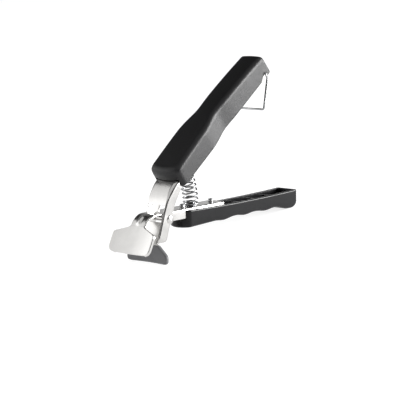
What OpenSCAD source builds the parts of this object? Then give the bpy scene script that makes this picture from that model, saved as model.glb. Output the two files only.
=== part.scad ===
// Spring clip for lifting hot bowls and jars. Two steel channel arms cross at one rivet.
// Each arm carries a hollow handle behind the rivet and a spade jaw in front of it.
// All pieces are drawn in the clip's own axes: X runs back along the lower handle, Y across,
// Z up, and the rivet's axis is the origin. standing() then sets the clip down on its
// rear jaw and on the tail of its lower handle.

/* [Lower handle] */
// Length of the lower handle from nose tip to tail
lower_l = 132.6; // [110:1:160]
// Outer width of the lower handle
lower_w = 20; // [19:0.5:25]
// Wall thickness of both handles
wall = 2.2; // [1.6:0.1:2.4]
// Height of the lower handle's rim above the rivet, at both ends
rim_z = 4; // [3:0.5:4.6]
// How far the rim dips half way along
rim_dip = 1.1; // [0:0.1:2]
// Depth of the lower handle at its nose
lower_h = 13.4; // [11:0.2:17]
// Spacing of the finger grooves
groove_pitch = 24.5; // [20:0.5:28]
// Depth of the finger grooves
groove_d = 1; // [0:0.1:1.6]
// How far the tail bump hangs below the grooves
tail_drop = 3; // [1:0.1:5]

/* [Upper handle] */
// Length of the upper handle along its top
upper_l = 127; // [110:1:150]
// Width of the upper handle at its nose
upper_w = 28; // [25:0.5:34]
// Width of the upper handle at its tail
upper_tail_w = 20.8; // [18:0.4:24]
// Depth of the upper handle
upper_h = 15.8; // [15:0.2:20]
// Rise of the upper handle's back half way along
upper_arch = 2.5; // [0:0.1:4]
// Angle between the two handles when the clip is open
open_angle = 36; // [30:1:42]

/* [Arms and jaws] */
// Thickness of the steel sheet
sheet = 1.2; // [0.8:0.1:1.4]
// Outer width of the lower arm's channel
lower_arm_w = 15; // [12:0.5:15]
// Side gap between the nested channels
arm_gap = 0.6; // [0.3:0.1:1]
// Height of the lower arm's web above the rivet
web_z = 5.1; // [4.5:0.1:6]
// Depth of the upper arm's side flanges
flange_h = 8.4; // [7.5:0.1:10]
// Width of the front jaw
front_jaw_w = 40; // [34:1:46]
// Drop of the front jaw below its bend
front_jaw_h = 21; // [18:0.5:25]
// Width of the rear jaw with its sleeve
rear_jaw_w = 39; // [34:1:44]
// Radius that both jaws follow around a bowl's wall
jaw_r = 100; // [60:5:200]
// Depth of the turned back lip round the front jaw
lip_h = 2.2; // [1.6:0.1:3]
// Thickness of the silicone sleeve's skin
sleeve_t = 1; // [0.6:0.1:1.4]

/* [Rivet, spring and bail] */
// Radius of the pivot rivet's shank
rivet_r = 2; // [1.5:0.1:2.2]
// Running clearance round the rivet and the bail's ends
running = 0.05; // [0.02:0.01:0.1]
// Distance of the spring's seat behind the rivet
spring_x = 33; // [31:0.2:34]
// Outer diameter of the return spring
spring_od = 12; // [10:0.1:12.4]
// Diameter of the spring's wire
spring_wire = 1.2; // [0.8:0.1:1.4]
// Number of turns of the return spring
spring_turns = 11; // [9:1:11]
// Diameter of the bail's wire
bail_wire = 1.6; // [1.2:0.1:2]
// Drop of the bail from its ends to its cross bar
bail_l = 27.3; // [20:0.1:30]

/* [Hidden] */
$fn = 48;

// points on an arc round c from angle a0 to a1
function arc(c, r, a0, a1, n = 12) =
    [for (i = [0 : n]) c + r * [cos(a0 + (a1 - a0) * i / n), sin(a0 + (a1 - a0) * i / n)]];
// points on a rounded corner at b, from a to c
function corner(a, b, c, n = 6) =
    [for (i = [0 : n]) (1 - i / n) * (1 - i / n) * a + 2 * (1 - i / n) * i / n * b + i / n * i / n * c];
// 0 to 1 in a smooth S as x goes from a to b
function ramp(x, a, b) = let (u = min(1, max(0, (x - a) / (b - a)))) u * u * (3 - 2 * u);
// 1 at c, falling smoothly to 0 at c - w and c + w
function hump(x, c, w) = abs(x - c) < w ? (1 + cos(180 * (x - c) / w)) / 2 : 0;
function flip(pts) = [for (i = [len(pts) - 1 : -1 : 0]) [-pts[i].x, pts[i].y]];
function backwards(pts) = [for (i = [len(pts) - 1 : -1 : 0]) pts[i]];
function unit(a) = [cos(a), sin(a)];

// a side view drawn in X and Z, given its width across Y
module side(w) {
    rotate([90, 0, 0]) linear_extrude(w, center = true) children();
}
// a front view drawn in Y and Z, run along X
module front(x0, x1) {
    translate([x0, 0, 0]) rotate([90, 0, 90]) linear_extrude(x1 - x0) children();
}
// a shaft or bore across the clip at x, z
module across(x, z, r, w) {
    translate([x, 0, z]) rotate([90, 0, 0]) cylinder(h = w, r = r, center = true);
}

// ---- lower handle: an open trough with finger grooves under it
nose_x = 16;
nose_bulge = 6;
tail_x = nose_x + lower_l;
lower_floor = 2;
tail_r = 7;
tail_bump_x = tail_x - 10.6;
tail_bump_run = 17;
first_groove_x = nose_x + 44.5;
nose_bottom_z = rim_z - lower_h;
grip_bottom_z = nose_bottom_z + 2.2;
tail_bottom_z = grip_bottom_z - tail_drop;
rib_pitch = 20;
rib_t = 2;
rib_drop = 2.2;
rim_steps = 18;
bottom_steps = 56;
chin_r = 2.5;

function rim_at(x) = let (u = (2 * x - nose_x - tail_x) / lower_l) rim_z - rim_dip * (1 - u * u);
function grip_at(x) =
    nose_bottom_z + (grip_bottom_z - nose_bottom_z) * min(1, (x - nose_x) / 60)
    - groove_d * (hump(x, first_groove_x, 11) + hump(x, first_groove_x + groove_pitch, 11)
                  + hump(x, first_groove_x + 2 * groove_pitch, 11))
    - tail_drop * ramp(x, tail_bump_x - tail_bump_run, tail_bump_x);
function lower_side(floor_up, rim_up) = concat(
    [for (i = [0 : rim_steps]) let (x = tail_x - lower_l * i / rim_steps) [x, rim_at(x) + rim_up]],
    floor_up == 0 ? arc([nose_x + chin_r, nose_bottom_z + chin_r], chin_r, 180, 270, 6) : [],
    [for (i = [0 : bottom_steps])
        let (x = nose_x + chin_r + (tail_x - tail_r - nose_x - chin_r) * i / bottom_steps)
        [x, grip_at(x) + floor_up]],
    arc([tail_x - tail_r, tail_bottom_z + tail_r], tail_r - floor_up, -80, 0, 8));
nose_r = (lower_w * lower_w / 4 + nose_bulge * nose_bulge) / (2 * nose_bulge);
nose_half = asin(lower_w / 2 / nose_r);
tail_corner = 2.5;
function lower_plan(e) = concat(
    arc([nose_x + nose_r, 0], nose_r - e, 180 + nose_half, 180 - nose_half, 16),
    corner([tail_x - e - tail_corner, lower_w / 2 - e], [tail_x - e, lower_w / 2 - e],
           [tail_x - e, lower_w / 2 - e - tail_corner]),
    corner([tail_x - e, tail_corner + e - lower_w / 2], [tail_x - e, e - lower_w / 2],
           [tail_x - e - tail_corner, e - lower_w / 2]));

// ---- lower arm: a channel with its web up, bent down in front into the front jaw
arm_end_x = nose_x + 46;
flange_z = -2;
bend_x = -12;
bend_r = 14;
bend_turn = 62;
bend_c = [bend_x, web_z - bend_r];
jaw_top = bend_c + bend_r * unit(90 + bend_turn);
jaw_lean = 90 - bend_turn;
lower_ear_r = 3.5;
neck_w = 14;
hole_gap = 0.1;
screw_r = 1.25;
screw_head_r = 2;
screw_head_h = 2.4;
stud_r = 1.7;
post_r = 3.3;
post_h = 4;
screw_xs = [nose_x + 7.6, nose_x + 39.3];

// ---- upper handle: frame at the top of its nose
upper_at = [5, 37.6];
T = unit(open_angle);
N = unit(open_angle + 90);
upper_front = -5.5;
upper_nose_bulge = 3;
upper_nose_corner = 3.5;
upper_nose_brow = [1, 4.5];
upper_nose_brow_h = 6;
upper_tail_lean = 1.2;
upper_tail_rise = 0.8;
waist = [41, 57];
waist_in = 0.6;
front_taper = 0.6;
plan_steps = 40;
back_steps = 14;
mouth_gap = 0.4;
function upper_half(s) =
    let (front = upper_w / 2 - front_taper * min(1, max(0, s) / waist[0]),
         rear = upper_tail_w / 2 - waist_in * hump(s, waist[1] + 2, 18))
    front + (rear - front) * ramp(s, waist[0], waist[1]);
function back_at(s) = upper_tail_rise * s / upper_l + 4 * upper_arch * (s / upper_l) * (1 - s / upper_l);
upper_nose_r = (upper_w * upper_w / 4 + upper_nose_bulge * upper_nose_bulge) / (2 * upper_nose_bulge);
upper_nose_half = asin((upper_w / 2 - upper_nose_corner) / upper_nose_r);
function upper_plan(e) =
    let (r = upper_nose_r - e, c = upper_front + upper_nose_r, q = c - r * cos(upper_nose_half),
         half = concat(
        arc([c, 0], r, 180, 180 - upper_nose_half, 10),
        corner([q, r * sin(upper_nose_half)], [q + 0.9, upper_half(0) - e],
               [q + 0.9 + upper_nose_corner, upper_half(0) - e], 5),
        [for (i = [1 : plan_steps]) let (s = (upper_l - 5) * i / plan_steps)
            if (s > q + 1.5 + upper_nose_corner) [s, upper_half(s) - e]],
        corner([upper_l - 5, upper_tail_w / 2 - e], [upper_l - e, upper_tail_w / 2 - e],
               [upper_l - e, upper_tail_w / 2 - 5])))
    concat(half, [for (p = backwards(half)) if (p.y > 0.001) [p.x, -p.y]]);
function upper_side(e) =
    let (front = upper_front + e, rear = upper_l - upper_tail_lean - e, top = back_at(0) - e) concat(
    [[front, -upper_h - e]],
    corner([front, -upper_nose_brow_h], [front + upper_nose_brow[0], top], [front + upper_nose_brow[1], top]),
    [for (i = [1 : back_steps]) let (s = (upper_l - 7) * i / back_steps) [s, back_at(s) - e]],
    corner([upper_l - 5, back_at(upper_l - 5) - e], [rear, back_at(upper_l) - e], [rear, back_at(upper_l) - e - 4]),
    [[upper_l - e, -upper_h - e]]);

// ---- upper arm: a channel with its web forward, from the rear jaw up into the upper handle
upper_arm_w = lower_arm_w + 2 * arm_gap + 2 * sheet;
arm_lean = 70.5;
arm_foot = [-13.2, -16];
arm_up = 31;
arm_r = 30;
arm_bend = arm_foot + arm_up * unit(arm_lean);
arm_c = arm_bend + arm_r * unit(arm_lean - 90);
arm_in = arm_c + arm_r * unit(open_angle + 90);
arm_in_l = 41.7;
web_n = (arm_in - upper_at) * N;
seat_n = web_n - sheet;
upper_arm_end_s = (arm_in - upper_at) * T + arm_in_l;
upper_flange_n = -upper_h + 0.5;
upper_ear_r = 3.6;
mouth_half = upper_half(upper_arm_end_s) - wall - mouth_gap;
flare_z = [upper_ear_r + 0.6, 26];
upper_screw_ss = [upper_arm_end_s - 14.5, upper_arm_end_s - 4.5];
window_w = lower_arm_w + 2 * arm_gap;
window_low = 15.6;
window_high = 28.1;
tongue_w = 5;
tongue_end = 23.2;

// ---- rear jaw: the upper arm's blade, straight down from its foot
rear_top_z = arm_foot.y;
rear_bottom_z = rear_top_z - 13.3;
rear_x = arm_foot.x;
sleeve_fit = 0.05;

// ---- spring seats: the spring's axis is square to both webs, round the point where they meet
under = upper_at + seat_n * N;
seats_meet_x = under.x - (under.y - web_z) / tan(open_angle);
spring_axis_r = spring_x - seats_meet_x;
spring_coil_r = (spring_od - spring_wire) / 2;
spring_ring = 14;
spring_sides = 6;

// ---- bail: its ends sit in the upper handle's side walls, over a V notch in each wall's rim
notch_run = [-7, 1.6];
bail_at = [119.3, 3.6 - upper_h];
bail_pin = upper_at + bail_at.x * T + bail_at.y * N;
function notch() = [bail_at + [-0.8, 0.3], bail_at + [0.8, 0.3], [bail_at.x + notch_run[1], -upper_h - 1],
    [bail_at.x + notch_run[0] - 1.4, -upper_h - 1]];
bail_gap = 0.3;
bail_y = max(lower_w, upper_tail_w) / 2 + bail_gap + bail_wire / 2;
bail_bend = bail_pin + [1.6, -4.2];
bail_foot = bail_pin + [-3.1, -bail_l];
boss_depth = 1.6;
bail_end_y = upper_tail_w / 2 - wall - boss_depth + 0.4;

// ---- standing: the sleeve's lower corners and the tail's round end share the ground
sleeve_y = rear_jaw_w / 2 - 3;
sleeve_back = jaw_r + sheet + sleeve_fit + sleeve_t;
ground_jaw = [rear_x - jaw_r + sqrt(sleeve_back * sleeve_back - sleeve_y * sleeve_y), rear_bottom_z - sleeve_t];
ground_tail = [tail_x - tail_r, tail_bottom_z + tail_r];
ground_run = ground_tail - ground_jaw;
tilt = atan2(ground_run.y, ground_run.x) - asin(tail_r / norm(ground_run));
function down(p) = -p.x * sin(tilt) + p.y * cos(tilt);
function along(p) = p.x * cos(tilt) + p.y * sin(tilt);
jaw_tip = jaw_top - (front_jaw_h) * unit(90 - jaw_lean);
front_sweep = jaw_r - sqrt(jaw_r * jaw_r - pow(front_jaw_w / 2 - 2.2, 2));
lip_tip = jaw_tip - front_sweep * unit(-jaw_lean);
middle_x = (along(lip_tip) + along([tail_x, rim_z])) / 2;

module standing() {
    translate([-middle_x, 0, -down(ground_jaw)]) rotate([0, tilt, 0]) children();
}
module on_upper() {
    translate([upper_at.x, 0, upper_at.y]) rotate([0, -open_angle, 0]) children();
}

// outline of a spade: neck, sloping shoulders, straight sides and a shallow hollow foot
function spade(neck, half, slope, foot, e) =
    let (s0 = -0.8 - e, s1 = s0 - (half - neck) * slope,
         right = concat(
             [[neck - e, 3]],
             corner([neck - e, s0 + 1.5], [neck - e, s0 - e], [neck + 2, s0 - e - 2 * slope]),
             corner([half - 2, s1 + 2 * slope - e / 2], [half - e, s1 - e / 2], [half - e, s1 - 1.8]),
             corner([half - e, 2.6 - foot], [half - e, e - foot], [half - 3, e - foot]),
             [[0, e - foot + 0.5]]))
    concat(right, backwards([for (p = right) if (p.x > 0) [-p.x, p.y]]));

// part of a tube wall that a spade is cut from; its axis stands jaw_r in front
module curved_sheet(t0, t1, h0, h1) {
    translate([-jaw_r, 0, h0]) rotate([0, 0, -20]) rotate_extrude(angle = 40, $fn = 200)
        translate([jaw_r + t0, 0]) square([t1 - t0, h1 - h0]);
}
module spade_plate(neck, half, slope, foot, t0, t1, e = 0) {
    intersection() {
        curved_sheet(t0, t1, -foot - 1, 4);
        front(-10, 10) polygon(spade(neck, half, slope, foot, e));
    }
}

module lower_handle() color([0.07, 0.07, 0.08]) standing() difference() {
    intersection() {
        side(lower_w + 2) polygon(lower_side(0, 0));
        translate([0, 0, -40]) linear_extrude(60) polygon(lower_plan(0));
    }
    difference() {
        intersection() {
            side(lower_w + 2) polygon(lower_side(lower_floor, 2));
            translate([0, 0, -40]) linear_extrude(60) polygon(lower_plan(wall));
        }
        for (x = screw_xs) translate([x, 0, -30]) cylinder(h = 30 + web_z - sheet, r = 3.3);
        for (i = [0 : 3]) translate([nose_x + 52 + rib_pitch * i, 0, rim_z - rim_dip - rib_drop - 20])
            cube([rib_t, lower_w, 40], center = true);
    }
    for (x = screw_xs) translate([x, 0, nose_bottom_z + lower_floor + 0.6])
        cylinder(h = 20, r = screw_r + hole_gap);
    translate([nose_x - 5, -lower_arm_w / 2 - 0.3, flange_z - 0.3])
        cube([12, lower_arm_w + 0.6, 20]);
}

module upper_handle() color([0.07, 0.07, 0.08]) standing() on_upper() difference() {
    intersection() {
        side(upper_w + 2) polygon(upper_side(0));
        translate([0, 0, -40]) linear_extrude(60) polygon(upper_plan(0));
    }
    difference() {
        intersection() {
            side(upper_w + 2) polygon(upper_side(wall));
            translate([0, 0, -40]) linear_extrude(60) polygon(upper_plan(wall));
        }
        for (s = upper_screw_ss) translate([s, 0, web_n]) cylinder(h = 30, r = 3.3);
        for (m = [-1, 1]) translate([bail_at.x, m * (upper_tail_w / 2 - wall), bail_at.y])
            rotate([90, 0, 0]) cylinder(h = 2 * boss_depth, r = 2.6, center = true);
    }
    translate([-30, -mouth_half - mouth_gap, web_n + mouth_gap - 20])
        cube([31, 2 * (mouth_half + mouth_gap), 20]);
    for (s = upper_screw_ss) translate([s, 0, web_n - 1]) cylinder(h = 8, r = screw_r + hole_gap);
    across(bail_at.x, bail_at.y, bail_wire / 2 + running, upper_w + 4);
    for (m = [-1, 1]) translate([0, m * (upper_tail_w / 2 - wall + 5), 0]) side(10) polygon(notch());
}

// web and flanges in side view, shared by the lower arm's two layers
function lower_web(r_off) = concat(
    [[arm_end_x, web_z - r_off]],
    arc(bend_c, bend_r - r_off, 90, 90 + bend_turn, 14));
function lower_flange() = concat(
    [[arm_end_x, web_z]],
    arc(bend_c, bend_r, 90, 90 + bend_turn - 6, 14),
    corner([-21.3, 1.6], [-17.5, 1.6], [-13.5, web_z - sheet + 0.2]),
    corner([-6.4, web_z - sheet + 0.2], [-5.2, 2.6], lower_ear_r * unit(190)),
    arc([0, 0], lower_ear_r, 195, 315, 10),
    corner([3.4, flange_z - 0.4], [4, flange_z], [6, flange_z]),
    [[arm_end_x, flange_z]]);

module lower_arm() color([0.78, 0.79, 0.8]) standing() difference() {
    union() {
        side(lower_arm_w) polygon(concat(lower_web(0), backwards(lower_web(sheet))));
        for (m = [-1, 1]) translate([0, m * (lower_arm_w - sheet) / 2, 0])
            side(sheet) polygon(lower_flange());
        translate([jaw_top.x, 0, jaw_top.y]) rotate([0, jaw_lean, 0]) {
            spade_plate(neck_w / 2, front_jaw_w / 2, 0.4, front_jaw_h, 0, sheet);
            difference() {
                spade_plate(neck_w / 2, front_jaw_w / 2, 0.4, front_jaw_h, 0, lip_h);
                front(-10, 10) polygon(spade(neck_w / 2, front_jaw_w / 2, 0.4, front_jaw_h, 1));
                translate([-10, -neck_w / 2 - 1, -1.2]) cube([20, neck_w + 2, 6]);
            }
        }
        translate([bend_c.x, 0, bend_c.y]) rotate([90, 0, 0]) rotate([0, 0, 112])
            rotate_extrude(angle = 42) translate([bend_r - 1, 0]) circle(r = 2.2);
    }
    across(0, 0, rivet_r + running, lower_arm_w + 2);
    for (x = screw_xs) translate([x, 0, 0]) cylinder(h = 20, r = screw_r + hole_gap);
    translate([spring_x, 0, 0]) cylinder(h = 20, r = stud_r + hole_gap);
}

function upper_flange() = let (rear = arm_foot + flange_h * unit(arm_lean - 90)) concat(
    [arm_foot],
    arc(arm_c, arm_r, arm_lean + 90, open_angle + 90, 10),
    [arm_in + arm_in_l * T],
    corner(upper_at + upper_arm_end_s * T + (web_n - 2) * N, upper_at + upper_arm_end_s * T + upper_flange_n * N,
           upper_at + (upper_arm_end_s - 4) * T + upper_flange_n * N),
    corner(upper_at + 2 * T + upper_flange_n * N, upper_at - 4 * T + upper_flange_n * N,
           rear + 31 * unit(arm_lean), 8),
    corner(rear + 5 * unit(arm_lean), [rear.x + 1, arm_foot.y], [rear.x - 1.5, arm_foot.y]));

// the arm's width seen from the front: it widens from the ears up to the handle's mouth
function arm_front(e) = let (a = upper_arm_w / 2 - e, b = mouth_half - e, right =
    [[a, -40], [a, flare_z[0]], [b, flare_z[1]], [b, 90]])
    concat(right, backwards([for (p = right) [-p.x, p.y]]));
// the space behind the arm's web
function upper_inside() = let (end = arm_in + (arm_in_l + 2) * T) concat(
    [[arm_foot.x + 40, arm_foot.y - 6], arm_foot + sheet * unit(arm_lean - 90) - 6 * unit(arm_lean)],
    arc(arm_c, arm_r - sheet, arm_lean + 90, open_angle + 90, 10),
    [end - sheet * N, end - 60 * N]);

module upper_arm() color([0.78, 0.79, 0.8]) standing() difference() {
    half = window_w / 2;
    union() {
        difference() {
            intersection() {
                side(60) union() {
                    polygon(upper_flange());
                    circle(r = upper_ear_r);
                }
                front(-60, 90) polygon(arm_front(0));
            }
            intersection() {
                side(60) polygon(upper_inside());
                front(-60, 90) polygon(arm_front(sheet));
            }
        }
        translate([rear_x, 0, rear_top_z])
            spade_plate(upper_arm_w / 2 - 0.8, rear_jaw_w / 2 - sleeve_t, 0.72, rear_top_z - rear_bottom_z, 0, sheet);
    }
    translate([arm_foot.x, 0, arm_foot.y]) rotate([0, 90 - arm_lean, 0]) front(-5, 5)
        difference() {
            polygon(concat(
                corner([half - 2, window_high], [half, window_high], [half, window_high - 2]),
                corner([half, window_low + 2], [half, window_low], [half - 2, window_low]),
                corner([2 - half, window_low], [-half, window_low], [-half, window_low + 2]),
                corner([-half, window_high - 2], [-half, window_high], [2 - half, window_high])));
            translate([-tongue_w / 2, tongue_end]) square([tongue_w, 10]);
        }
    across(0, 0, rivet_r + running, upper_arm_w + 2);
    on_upper() for (s = upper_screw_ss) translate([s, 0, web_n - 5]) cylinder(h = 10, r = screw_r + hole_gap);
    on_upper() translate([(seat_mid - upper_at) * T, 0, web_n - 5]) cylinder(h = 10, r = stud_r + hole_gap);
}

// centre of the spring's upper seat
seat_mid = [seats_meet_x, web_z] + spring_axis_r * unit(open_angle);

module rear_jaw_sleeve() color([0.33, 0.34, 0.36]) standing() translate([rear_x, 0, rear_top_z]) {
    difference() {
        intersection() {
            spade_plate(upper_arm_w / 2, rear_jaw_w / 2, 0.72, rear_top_z - rear_bottom_z + sleeve_t,
                        -sleeve_t - sleeve_fit, sheet + sleeve_t + sleeve_fit);
            translate([-10, -30, -30]) cube([30, 60, 28.6]);
        }
        spade_plate(upper_arm_w / 2 - 0.8, rear_jaw_w / 2 - sleeve_t, 0.72, rear_top_z - rear_bottom_z,
                    -sleeve_fit, sheet + sleeve_fit, -sleeve_fit);
    }
}

// a shank with a low domed head whose underside is at z = 0
module domed_head(r, h) {
    intersection() {
        cylinder(h = h, r = r);
        translate([0, 0, h - 1.6 * r]) sphere(r = 1.6 * r);
    }
}

module pivot_rivet() color([0.82, 0.82, 0.83]) standing() {
    across(0, 0, rivet_r, upper_arm_w);
    for (m = [-1, 1]) translate([0, m * upper_arm_w / 2, 0]) rotate([-m * 90, 0, 0])
        domed_head(rivet_r + 1.1, 1.1);
}

module screw(reach) {
    domed_head(screw_head_r, screw_head_h);
    translate([0, 0, -reach]) cylinder(h = reach, r = screw_r);
}
module lower_handle_screws() color([0.7, 0.71, 0.72]) standing()
    for (x = screw_xs) translate([x, 0, web_z]) screw(9);
module upper_handle_screws() color([0.7, 0.71, 0.72]) standing() on_upper()
    for (s = upper_screw_ss) translate([s, 0, seat_n]) rotate([180, 0, 0]) screw(7);

module spring_post() {
    intersection() {
        cylinder(h = post_h, r = post_r);
        translate([0, 0, post_h - 1.1 * post_r]) sphere(r = 1.1 * post_r);
    }
    translate([0, 0, -sheet - 0.1]) cylinder(h = sheet + 0.1, r = stud_r);
    translate([0, 0, -sheet - 0.9]) cylinder(h = 0.8, r = stud_r + 0.8);
}
module lower_spring_post() color([0.4, 0.4, 0.42]) standing() translate([spring_x, 0, web_z]) spring_post();
module upper_spring_post() color([0.4, 0.4, 0.42]) standing() on_upper()
    translate([(seat_mid - upper_at) * T, 0, seat_n]) rotate([180, 0, 0]) spring_post();

// the coil's axis is an arc round the point where the two seats would meet
function coil_share(t) = let (n = spring_turns, w = spring_wire * 1.04, run = spring_axis_r * open_angle * PI / 180)
    t < 1 ? t * w / run : t > n - 1 ? 1 - (n - t) * w / run : w / run + (t - 1) / (n - 2) * (1 - 2 * w / run);
module return_spring() color([0.75, 0.76, 0.78]) standing() {
    rings = spring_turns * spring_ring;
    ends = 180 / PI * (spring_wire / 2 + 0.05) / spring_axis_r;
    points = [for (i = [0 : rings]) let (t = i / spring_ring, psi = 360 * t,
                  a = ends + (open_angle - 2 * ends) * coil_share(t))
              for (k = [0 : spring_sides - 1]) let (q = 360 * k / spring_sides,
                  r = spring_coil_r + spring_wire / 2 * cos(q), h = spring_wire / 2 * sin(q),
                  xz = (spring_axis_r + r * cos(psi)) * unit(a) + h * unit(a + 90))
              [seats_meet_x + xz.x, r * sin(psi), web_z + xz.y]];
    m = spring_sides;
    sides = [for (i = [0 : rings - 1]) for (k = [0 : m - 1])
             [i * m + k, i * m + (k + 1) % m, (i + 1) * m + (k + 1) % m, (i + 1) * m + k]];
    caps = [[for (k = [m - 1 : -1 : 0]) k], [for (k = [0 : m - 1]) rings * m + k]];
    polyhedron(points, concat(sides, caps), convexity = 10);
}

// a round wire along the points p; each corner is a ball a hair thicker than the wire
module wire(p, r) {
    for (i = [0 : len(p) - 2]) {
        d = (p[i + 1] - p[i]) / norm(p[i + 1] - p[i]);
        translate(p[i]) rotate([0, acos(d.z), atan2(d.y, d.x)]) cylinder(h = norm(p[i + 1] - p[i]), r = r);
    }
    for (i = [1 : len(p) - 2]) translate(p[i]) sphere(r = r * 1.04);
}
module wire_bail() color([0.72, 0.73, 0.75]) standing()
    wire([for (m = [[bail_pin, bail_end_y], [bail_pin, bail_y], [bail_bend, bail_y], [bail_foot, bail_y],
                    [bail_foot, -bail_y], [bail_bend, -bail_y], [bail_pin, -bail_y], [bail_pin, -bail_end_y]])
          [m[0].x, m[1], m[0].y]], bail_wire / 2);

lower_handle();
upper_handle();
lower_arm();
upper_arm();
rear_jaw_sleeve();
pivot_rivet();
return_spring();
lower_spring_post();
upper_spring_post();
lower_handle_screws();
upper_handle_screws();
wire_bail();
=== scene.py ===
import math
import bmesh
import bpy
import numpy as np
from mathutils import Matrix, Vector


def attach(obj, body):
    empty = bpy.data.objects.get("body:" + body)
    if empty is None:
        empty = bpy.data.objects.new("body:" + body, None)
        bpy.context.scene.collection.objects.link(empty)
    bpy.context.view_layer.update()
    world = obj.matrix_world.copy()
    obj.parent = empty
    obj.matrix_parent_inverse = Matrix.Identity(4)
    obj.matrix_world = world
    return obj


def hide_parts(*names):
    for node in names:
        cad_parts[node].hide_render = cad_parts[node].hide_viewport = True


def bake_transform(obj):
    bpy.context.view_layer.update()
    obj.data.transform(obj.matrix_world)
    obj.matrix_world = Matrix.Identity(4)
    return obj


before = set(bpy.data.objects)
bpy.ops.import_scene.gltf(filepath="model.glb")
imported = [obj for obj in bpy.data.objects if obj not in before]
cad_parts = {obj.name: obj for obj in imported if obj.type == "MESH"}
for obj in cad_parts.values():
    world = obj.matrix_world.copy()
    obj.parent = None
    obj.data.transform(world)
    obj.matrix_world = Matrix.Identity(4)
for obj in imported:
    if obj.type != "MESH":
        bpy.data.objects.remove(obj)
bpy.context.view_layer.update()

# ---------------------------------------------------------------- sizes, in mm
# The clip's own axes: the rivet's middle is the origin, x runs toward the tail, z up.
TILT = math.radians(7.41979)                     # the clip's axes are turned by this when it stands
MIDDLE_X, LIFT = 54.9711, 28.4592                # and moved by this
SHEET, WALL = 1.2, 2.2                           # steel sheet, handle walls

NOSE_X, LOWER_L, LOWER_W, LOWER_H = 16.0, 132.6, 20.0, 13.4
TAIL_X = NOSE_X + LOWER_L
RIM_Z, RIM_DIP = 4.0, 1.1
PITCH, GROOVE, DROP = 24.5, 1.0, 3.0             # finger grooves, and the tail's drop
GRIP_R, RIM_R, LIP_R = 1.9, 0.95, 0.3            # edges: under the grip, outside and inside the rim
LOWER_BOW, LOWER_TAIL_R = 6.0, 7.0               # the nose's bow in plan, the tail's round in side view
NOTCH_HALF, NOTCH_X, NOTCH_Z = 7.8, 24, -2.2     # the nose's notch for the jaw arm
LOWER_SCREWS = (NOSE_X + 7.6, NOSE_X + 39.3)

OPEN_DEG = 36                                    # the upper handle's angle at rest
OPEN = math.radians(OPEN_DEG)
UPPER_AT = np.array([5.0, 37.6])                 # where its base line starts
UPPER_L, UPPER_W, UPPER_TAIL_W, UPPER_H, ARCH = 127.0, 28.0, 20.8, 15.8, 2.5
BACK_R, UPPER_RIM_R, INSIDE_R = 3.6, 0.5, 1.2
UPPER_BOW = 3.0
MOUTH_HALF, MOUTH_N, MOUTH_GAP = 10.84, -9.83, 0.4
UPPER_SCREWS = (23.51, 33.51)
BAIL_S, BAIL_N = 119.3, 3.6 - UPPER_H

ARM_W, WEB_Z = 15.0, 5.1                         # the lower arm's channel and its web's top
UARM_W = 18.6                                    # the upper arm's channel
JAW_HALF, JAW_DEEP = 20.0, 21.0                  # front jaw: half width and depth
JAW_R = 100.0                                    # both jaws are curved to this in plan
REAR_HALF, REAR_DEEP, REAR_SLOPE = 18.5, 13.3, 0.72
POST_X, SEATS_X, SPRING_R = 33.0, -20.9657, 53.9657


def unit(deg):
    """The direction deg degrees above the x axis, as (x, z)."""
    return np.array([math.cos(math.radians(deg)), math.sin(math.radians(deg))])


ALONG, OFF = unit(OPEN_DEG), unit(OPEN_DEG + 90)  # along the upper handle, and away from it


def clip(v, a, b):
    return min(b, max(a, v))


def ramp(x, a, b):
    """From 0 at a to 1 at b, with a soft start and end."""
    u = clip((x - a) / (b - a), 0, 1)
    return u * u * (3 - 2 * u)


def hump(x, c, w):
    """1 at c, falling to 0 at w on both sides."""
    return (1 + math.cos(math.pi * (x - c) / w)) / 2 if abs(x - c) < w else 0.0


def corner(a, b, c, n=6):
    """Points on a rounded corner from a to c, with b as the sharp corner."""
    a, b, c = map(np.array, (a, b, c))
    return [(1 - i / n) ** 2 * a + 2 * (1 - i / n) * i / n * b + (i / n) ** 2 * c for i in range(n + 1)]


def quarter(n):
    """The sine and cosine of n angles from 0 to 90 degrees."""
    return [(math.sin(math.radians(a)), math.cos(math.radians(a))) for a in np.linspace(0, 90, n)]


def bow_radius(half, bow):
    """The radius of an arc that bulges by bow over a chord of twice half."""
    return (half ** 2 + bow ** 2) / (2 * bow)


def stand(points):
    """The clip's own axes in mm to the row frame in metres."""
    p = np.asarray(points, float).reshape(-1, 3)
    c, s = math.cos(TILT), math.sin(TILT)
    x = p[:, 0] * c + p[:, 2] * s - MIDDLE_X
    z = -p[:, 0] * s + p[:, 2] * c + LIFT
    return np.stack([x, p[:, 1], z], 1) / 1000


def on_upper(points):
    """s along the upper handle, y across and n up from its base line, to the clip's own axes."""
    p = np.asarray(points, float).reshape(-1, 3)
    c, s = math.cos(OPEN), math.sin(OPEN)
    x = UPPER_AT[0] + p[:, 0] * c - p[:, 2] * s
    z = UPPER_AT[1] + p[:, 0] * s + p[:, 2] * c
    return np.stack([x, p[:, 1], z], 1)


# ---------------------------------------------------------------- mesh helpers
def link(ob):
    bpy.context.scene.collection.objects.link(ob)
    return ob


def shade(bm, sharp):
    """Smooth faces, with edges over the angle sharp, in degrees, left crisp."""
    for e in bm.edges:
        e.smooth = not (len(e.link_faces) == 2 and e.calc_face_angle(0) > math.radians(sharp))
    for f in bm.faces:
        f.smooth = True


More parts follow.
